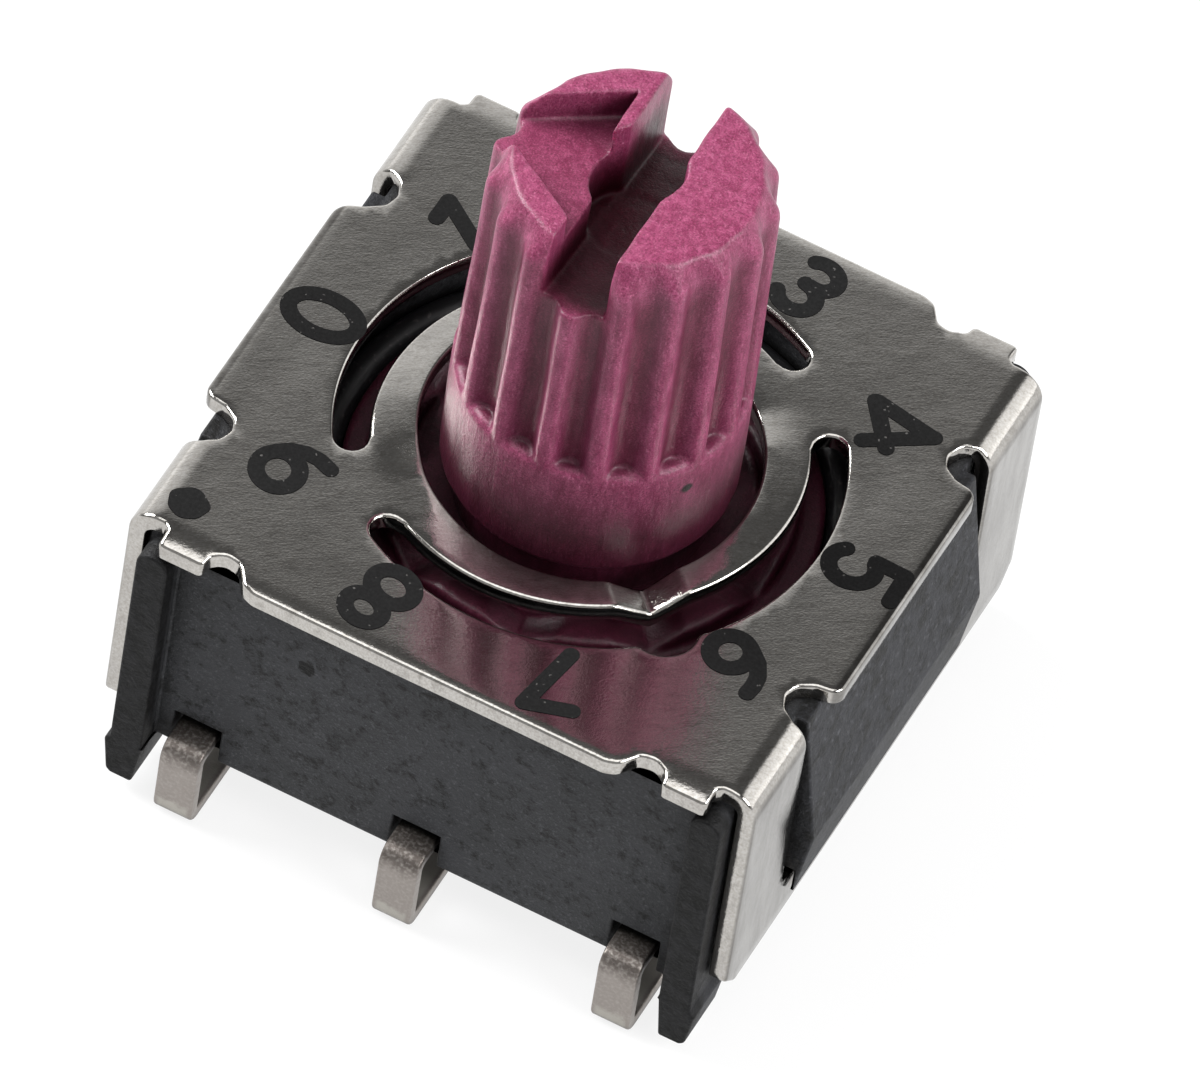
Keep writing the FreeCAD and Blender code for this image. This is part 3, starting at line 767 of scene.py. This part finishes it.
def press(p):
    """Bends the flat blank: noses, crowned ring, corner lips, rims, slight waves, flaps."""
    x, y, h = p[:, 0].copy(), p[:, 1].copy(), p[:, 2].copy()
    z = COVER_TOP + h
    ax, ay = np.abs(x), np.abs(y)

    r, angle = np.hypot(x, y), np.degrees(np.arctan2(y, x))
    off = nose_angle(angle)
    beside = np.abs(r * np.sin(off))
    vee = np.sqrt((1 - np.clip(beside / NOSE_HALF, 0, 1)) ** 2 + 0.0025) - 0.05
    soft = np.where(beside < NOSE_HALF + 0.1, vee, 0)
    on_ring = (r < RING_REACH) & (np.cos(off) > 0.5)
    z = z - NOSE_DROP * np.where(on_ring, soft, 0)
    outward = np.clip((r - HOLE_R) / (RING_FAR - HOLE_R), 0, 1)
    crown = np.interp(angle % 360, *zip(*RING_CROWN))
    z = z + np.where(r < RING_REACH, (1 - outward) * crown, 0)

    # The corner lips droop, and the rims between them and the flaps' tabs curl down a little.
    lip = np.clip((ay - PLATE_Y) / 0.26, 0, 1) * (ax > 2.55) * (ax < 3.2)
    z = z - 0.045 * lip ** 1.2
    rim = np.clip((ay - 3.42) / 0.17, 0, 1) * (ax < 2.3)
    z = z - 0.015 * rim ** 2
    tab = np.clip((ax - 3.50) / 0.17, 0, 1) * (ay < 1.75)
    z = z - 0.010 * tab ** 2
    fade = np.clip((3.24 - ax) / 0.6, 0, 1)
    z = z + ripple(x, y, 0, 1.3, 0.005, 5) * fade * fade * (3 - 2 * fade)

    flap = (ax > PLATE_X) & ((ay > 1.86) | (ax > 3.75))
    run = ax - PLATE_X
    phi = np.clip(run / BEND_R, 0, math.pi / 2)
    beyond = np.clip(run - BEND_ARC, 0, None)
    fx = PLATE_X + (BEND_R + h) * np.sin(phi)
    fz = COVER_TOP - BEND_R + (BEND_R + h) * np.cos(phi) - beyond
    x = np.where(flap, np.sign(x) * fx, x)
    z = np.where(flap, fz, z)
    return np.stack([x, y, z], 1)


def make_cover():
    """The cover: a blank filled with a grid, finer at the bends and noses, then pressed."""
    holes = [window_outline(1), window_outline(-1),
             np.array([polar(HOLE_R, a) for a in np.arange(0, 360, 1.5)]),
             slot_outline(NOSE_AT + 90), slot_outline(NOSE_AT + 270)]
    xs = np.concatenate([np.arange(0.055, PLATE_X, 0.11), np.arange(PLATE_X, 3.85, 0.045),
                         np.arange(3.9, FLAP_END, 0.16)])
    xs = np.concatenate([-xs, xs])
    ys = np.arange(-3.575, 3.6, 0.11)
    grid_points = np.array([(a + 0.004 * math.sin(37 * b), b) for a in xs for b in ys])
    seam = [polar(radius, nose) + t * polar(1, nose + 90)
            for nose in (NOSE_AT, NOSE_AT + 180) for radius in np.arange(1.84, 2.12, 0.07)
            for t in np.arange(-0.44, 0.45, 0.04)]
    grid_points = np.concatenate([grid_points, seam])
    flat, faces = blank(resampled(cover_outline(), 0.07), [resampled(h, 0.06) for h in holes],
                        SHEET, top_round=0.042, foot_round=0.015, grid_points=grid_points)
    cover = mesh_object("cover", press(flat), faces, STEEL)
    return piece(cover, "switch_body", "cover_steel", "spring_cover")


make_cover()


# ---- printed scale --------------------------------------------------------
DIGIT_AT = 3.12                  # distance of the digits from the shaft's axis
DOT_AT = (-3.12, -2.91)
STROKE = 0.09                    # half the width of the digits' strokes


def arc_points(cx, cy, rx, ry, start, end, steps=18):
    """Points on an ellipse, from one angle in degrees to another."""
    return [(cx + rx * math.cos(math.radians(a)), cy + ry * math.sin(math.radians(a)))
            for a in np.linspace(start, end, steps)]


# Middle lines of each digit's strokes, seen upright, round its own centre.
DIGITS = {
    0: [arc_points(0, -0.02, 0.248, 0.385, 90, 450, 48)],
    1: [[(-0.165, 0.115), (-0.06, 0.185), (0.055, 0.27)], [(0.055, 0.265), (0.06, -0.36)]],
    2: [arc_points(-0.01, 0.19, 0.215, 0.20, 160, -35) + [(-0.24, -0.33), (0.26, -0.33)]],
    3: [arc_points(-0.03, 0.235, 0.205, 0.17, 145, -75) + [(-0.07, 0.055)],
        [(-0.07, 0.055)] + arc_points(-0.02, -0.13, 0.215, 0.19, 78, -150)],
    4: [[(0.17, 0.42), (0.15, -0.33)], [(-0.35, -0.11), (0.27, -0.10)],
        [(-0.35, -0.095), (0.15, 0.39)]],
    5: [[(0.21, 0.425), (-0.165, 0.42), (-0.175, 0.08)],
        [(-0.165, 0.09)] + arc_points(0, -0.11, 0.22, 0.25, 128, -142)],
    6: [arc_points(-0.105, -0.155, 0.215, 0.21, 90, 450, 36),
        [(-0.32, -0.12), (-0.30, 0.08), (-0.22, 0.24), (-0.12, 0.33), (-0.02, 0.385)]],
    7: [[(-0.385, 0.375), (0.115, 0.385)], [(0.115, 0.385), (-0.255, -0.345)]],
    8: [arc_points(-0.045, 0.175, 0.21, 0.172, 90, 450, 36),
        arc_points(-0.053, -0.235, 0.24, 0.20, 90, 450, 36)],
    9: [arc_points(-0.15, 0.14, 0.235, 0.225, 90, 450, 36),
        [(0.09, 0.13), (0.095, -0.03), (0.045, -0.18), (-0.05, -0.30), (-0.19, -0.395)]],
}


def capsule(a, b, half):
    """Outline of a straight run with round ends."""
    a, b = np.array(a, float), np.array(b, float)
    way = (b - a) / np.linalg.norm(b - a)
    side = np.array((-way[1], way[0])) * half
    heading = math.atan2(way[1], way[0])

    def cap(centre, first):
        angles = np.linspace(first, first - math.pi, 9)[1:-1]
        return [centre + half * np.array((math.cos(t), math.sin(t))) for t in angles]

    return np.array([a + side, b + side] + cap(b, heading + math.pi / 2)
                    + [b - side, a - side] + cap(a, heading - math.pi / 2))


def run_distance(point, a, b):
    """Distance from a point to the straight run from a to b."""
    a, b = Vector(a), Vector(b)
    along = b - a
    share = (point - a).dot(along) / max(along.length_squared, 1e-12)
    return (point - a - along * min(max(share, 0), 1)).length


def print_digit(value, degrees):
    """Flat triangles of a digit that stands in this direction, its head outwards."""
    runs = [(a, b) for stroke in DIGITS[value] for a, b in zip(stroke[:-1], stroke[1:])]
    flat, faces = [], []
    for a, b in runs:
        if math.dist(a, b) > 1e-6:
            outline = capsule(a, b, STROKE)
            faces.append(list(range(len(flat), len(flat) + len(outline)))[::-1])
            flat += [Vector(q) for q in outline]

    def on_stroke(point, half):
        return any(run_distance(point, *run) < half for run in runs)

    spots = [Vector((a, b)) for a in np.arange(-0.5, 0.5, 0.055)
             for b in np.arange(-0.55, 0.55, 0.055)]
    flat += [q for q in spots if on_stroke(q, STROKE * 0.75)]
    vertices, _, triangles, _, _, _ = delaunay_2d_cdt(flat, [], faces, 1, 1e-6)
    triangles = [t for t in triangles
                 if on_stroke(sum((vertices[i] for i in t), Vector((0, 0))) / 3, STROKE)]
    out, right = polar(1, degrees), polar(1, degrees - 90)
    flat = np.array([DIGIT_AT * out + v[0] * right + v[1] * out for v in vertices])
    return flat, triangles


def make_print():
    """The digits and the dot, a thin film that follows the pressed cover."""
    points, faces = [], []

    def add(flat, triangles):
        start = sum(len(q) for q in points)
        points.append(flat)
        faces.extend([[start + i for i in t] for t in triangles])

    for value in range(POSITIONS):
        add(*print_digit(value, 180 - STEP * value))
    x, y = DOT_AT
    rim = [(x + (0.222 + 0.012 * math.sin(5 * a)) * math.cos(a),
            y + (0.20 + 0.010 * math.cos(4 * a)) * math.sin(a)) for a in np.arange(0, 6.28, 0.15)]
    add(np.array([DOT_AT] + rim), [(0, 1 + i, 1 + (i + 1) % len(rim)) for i in range(len(rim))])
    flat, film = np.concatenate(points), 0.006
    top = press(np.c_[flat, np.full(len(flat), film)])
    mesh = mesh_object("printed_scale", top, faces, INK)
    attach(mesh, "switch_body")


make_print()


# ---- leads ----------------------------------------------------------------
# Each outer pin: its x, its side along Y, and how far from the middle its inner end lies.
PINS = {"lead_1": (-PIN_PITCH, -1, 1.02), "lead_2": (-PIN_PITCH, 1, 1.32),
        "lead_4": (PIN_PITCH, -1, 1.62), "lead_8": (PIN_PITCH, 1, 1.87)}


def lead_path(inner):
    """Middle line of a pin in the (out, z) plane: tail, shoulder, leg, foot."""
    half, upper, lower = LEAD_T / 2, 0.21, 0.19      # upper and lower: outer radii of the bends
    z1, out = LEAD_LEVEL + half, LEAD_FACE - half
    path = [(inner, z1), ((inner + out) / 2, z1)]
    turn = np.linspace(0, math.pi / 2, 9)
    ru, rl = upper - half, lower - half
    path += [(out - ru + ru * math.sin(a), z1 - ru + ru * math.cos(a)) for a in turn]
    path += [(out, z1 - ru - k * (z1 - ru - half - rl)) for k in (0.33, 0.66)]
    path += [(out - rl + rl * math.cos(a), half + rl - rl * math.sin(a)) for a in turn]
    path += [((out - rl + LEAD_END) / 2, half), (LEAD_END, half)]
    return np.array(path)


def lead_section(width, thickness, radius):
    """Rectangle with round corners."""
    points = []
    for cx, cy, start in ((1, 1, 0), (-1, 1, 90), (-1, -1, 180), (1, -1, 270)):
        for a in np.radians(np.linspace(start, start + 90, 4)):
            points.append((cx * (width / 2 - radius) + radius * math.cos(a),
                           cy * (thickness / 2 - radius) + radius * math.sin(a)))
    return np.array(points)


def sweep(path, section):
    """Sweeps a section along a path: points (across, along, z) and faces."""
    way = np.gradient(path, axis=0)
    way /= np.linalg.norm(way, axis=1)[:, None]
    up = np.stack([-way[:, 1], way[:, 0]], 1)
    n = len(section)
    points = []
    for (along, z), u in zip(path, up):
        for across, off in section:
            points.append((across, along + u[0] * off, z + u[1] * off))
    faces = []
    for i in range(len(path) - 1):
        for j in range(n):
            a, b = i * n + j, i * n + (j + 1) % n
            faces.append([a, b, b + n, a + n])
    faces.append(list(range(n))[::-1])
    faces.append([len(points) - n + j for j in range(n)])
    return np.array(points), faces


def pin_mesh(x, side, inner):
    """One pin at x, on the front (side -1) or the rear (side 1)."""
    points, faces = sweep(lead_path(inner), lead_section(LEAD_W, LEAD_T, 0.028))
    points = points + [x, 0, 0]
    points[:, 1] *= side
    if side > 0:
        faces = [f[::-1] for f in faces]
    return points, faces


def join(parts):
    """Several meshes as one, each a pair of points and faces."""
    points, faces, start = [], [], 0
    for p, f in parts:
        points.append(p)
        faces += [[start + i for i in face] for face in f]
        start += len(p)
    return np.concatenate(points), faces


def fine_edges(obj):
    """Keeps edges of more than 40 degrees sharp in the shading."""
    obj.data.update()
    obj.data.set_sharp_from_angle(angle=math.radians(40))
    return obj


for name, (x, side, inner) in PINS.items():
    pin = fine_edges(mesh_object(name.replace("lead", "pin"), *pin_mesh(x, side, inner), TIN))
    piece(pin, "switch_body", "lead_tin", name)
common = join([pin_mesh(0, -1, 0.0), pin_mesh(0, 1, 0.0)])
piece(fine_edges(mesh_object("pin_common", *common, TIN)), "switch_body", "lead_tin", "lead_common")


# ---- seal -----------------------------------------------------------------
def make_o_ring():
    """The seal: a torus with the mould's thin flash line round its inside and outside."""
    middle, section, seat = 2.685, 0.17, 3.05
    turns, sides = 160, 20
    points, faces = [], []
    for i in range(turns):
        a = 2 * math.pi * i / turns
        for j in range(sides):
            b = 2 * math.pi * j / sides
            flash = 0.006 * math.exp(-((math.sin(b) / 0.12) ** 2))
            radius = section - 0.004 + flash
            out = middle + radius * math.cos(b)
            points.append((out * math.cos(a), out * math.sin(a),
                           seat + section + radius * math.sin(b)))
            ahead, up = (i + 1) % turns, (j + 1) % sides
            faces.append([i * sides + j, ahead * sides + j, ahead * sides + up, i * sides + up])
    ring = mesh_object("seal_ring", points, faces, RUBBER)
    return piece(ring, "switch_body", "seal_rubber", "o_ring")


make_o_ring()


# ---- CAD shapes with softened edges --------------------------------------
def softened(node, name, width, body, slot, material):
    """Piece that copies a CAD node, with its sharp edges rounded to width millimetres."""
    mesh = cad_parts[node].data.copy()
    mesh.name = name
    bm = bmesh.new()
    bm.from_mesh(mesh)
    for v in bm.verts:
        v.co /= MM
    bmesh.ops.remove_doubles(bm, verts=bm.verts, dist=0.0005)
    tree = BVHTree.FromBMesh(bm)
    bmesh.ops.dissolve_limit(bm, angle_limit=math.radians(0.6), verts=bm.verts, edges=bm.edges)
    sharp = [e for e in bm.edges if len(e.link_faces) == 2
             and e.calc_face_angle(0) > math.radians(28)]
    bmesh.ops.bevel(bm, geom=sharp, offset=width, offset_type="OFFSET", segments=3, profile=0.5,
                    affect="EDGES", clamp_overlap=False, harden_normals=False)
    for v in bm.verts:
        near, _, _, gap = tree.find_nearest(v.co)
        v.co = (near if gap > width / 2 else v.co) * MM
    for face in bm.faces:
        face.smooth = True
    bm.to_mesh(mesh)
    bm.free()
    mesh.set_sharp_from_angle(angle=math.radians(35))
    obj = placed(name, mesh)
    mesh.materials.clear()
    mesh.materials.append(material)
    weight = obj.modifiers.new("flats", "WEIGHTED_NORMAL")
    weight.keep_sharp = True
    return piece(obj, body, slot, node)


softened("housing", "housing_shell", 0.03, "switch_body", "housing_plastic", HOUSING)


# ---- floor and light ------------------------------------------------------
def make_floor():
    """Plain white table that shines like a light box, so that no shadow is deep."""
    mesh, reach = bpy.data.meshes.new("floor"), 3.0
    mesh.from_pydata([(-reach, -reach, 0), (reach, -reach, 0), (reach, reach, 0), (-reach, reach, 0)],
                     [], [(0, 1, 2, 3)])
    floor = placed("floor", mesh)
    look = bpy.data.materials.new("floor_look")
    look.use_nodes = True
    shader = look.node_tree.nodes["Principled BSDF"]
    shader.inputs["Base Color"].default_value = (0.12, 0.12, 0.12, 1)
    shader.inputs["Roughness"].default_value = 0.9
    shader.inputs["Specular IOR Level"].default_value = 0.0
    shader.inputs["Emission Color"].default_value = (1, 1, 1, 1)
    shader.inputs["Emission Strength"].default_value = 0.84
    mesh.materials.append(look)


def softbox(name, azimuth, elevation, distance, size, power):
    """Area light aimed at the middle of the cover; sizes in millimetres, power in watts."""
    data = bpy.data.lights.new(name, "AREA")
    data.shape, data.energy = "RECTANGLE", power
    data.size, data.size_y = size[0] * MM, size[1] * MM
    aim(placed(name, data), (0, 0, 4), azimuth, elevation, distance)


def make_world():
    """Dim studio: bright low horizon and two glows behind, a faint glow in front."""
    world = bpy.data.worlds.new("studio")
    world.use_nodes = True
    tree = world.node_tree
    tree.nodes.clear()
    output = tree.nodes.new("ShaderNodeOutputWorld")
    background = tree.nodes.new("ShaderNodeBackground")
    place = tree.nodes.new("ShaderNodeTexCoord")
    split = tree.nodes.new("ShaderNodeSeparateXYZ")
    tree.links.new(place.outputs["Generated"], split.inputs[0])

    def ramp(source, stops):
        """Grey level by the source's value, eased between (value, level) stops."""
        made = tree.nodes.new("ShaderNodeValToRGB")
        tree.links.new(source, made.inputs[0])
        made.color_ramp.interpolation = "EASE"
        while len(made.color_ramp.elements) < len(stops):
            made.color_ramp.elements.new(0.5)
        for element, (at, level) in zip(made.color_ramp.elements, stops):
            element.position = at
            element.color = (level, level, level, 1)
        return made.outputs[0]

    def glow(azimuth, elevation, stops):
        """Round glow; the stops run over the cosine of the angle from its middle."""
        toward = tree.nodes.new("ShaderNodeVectorMath")
        toward.operation = "DOT_PRODUCT"
        tree.links.new(place.outputs["Generated"], toward.inputs[0])
        toward.inputs[1].default_value = direction(azimuth, elevation)
        return ramp(toward.outputs["Value"], stops)

    def both(operation, a, b):
        """Adds or multiplies two levels."""
        made = tree.nodes.new("ShaderNodeVectorMath")
        made.operation = operation
        tree.links.new(a, made.inputs[0])
        tree.links.new(b, made.inputs[1])
        return made.outputs[0]

    sky = ramp(split.outputs["Z"], [(0.0, 0.81), (0.12, 0.61), (0.30, 0.13),
                                    (0.50, 0.0), (0.85, 0.0), (1.0, 0.11)])
    rear = tree.nodes.new("ShaderNodeMapRange")
    tree.links.new(split.outputs["Y"], rear.inputs["Value"])
    rear.inputs["From Min"].default_value = -0.6
    rear.inputs["From Max"].default_value = 0.3
    sky = both("MULTIPLY", sky, ramp(rear.outputs["Result"], [(0.0, 0.10), (1.0, 1.0)]))
    everywhere = tree.nodes.new("ShaderNodeRGB")
    everywhere.outputs[0].default_value = (0.12, 0.12, 0.12, 1)
    rear_left = glow(210, 12, [(0.72, 0.0), (0.92, 0.80), (1.0, 0.87)])
    rear_right = glow(126, 22, [(0.86, 0.0), (0.95, 1.4), (1.0, 1.5)])
    front = glow(0, 26, [(0.50, 0.0), (0.86, 0.27), (1.0, 0.30)])
    for light in (everywhere.outputs[0], rear_left, rear_right, front):
        sky = both("ADD", sky, light)
    tree.links.new(sky, background.inputs["Color"])
    tree.links.new(background.outputs[0], output.inputs["Surface"])
    bpy.context.scene.world = world


make_floor()
make_world()
softbox("left_box", azimuth=-90, elevation=36, distance=100, size=(60, 50), power=0.215)
softbox("right_box", azimuth=84, elevation=34, distance=100, size=(60, 50), power=0.125)
softbox("top_box", azimuth=0, elevation=79, distance=120, size=(110, 90), power=0.062)
bpy.context.scene.view_settings.view_transform = "Standard"
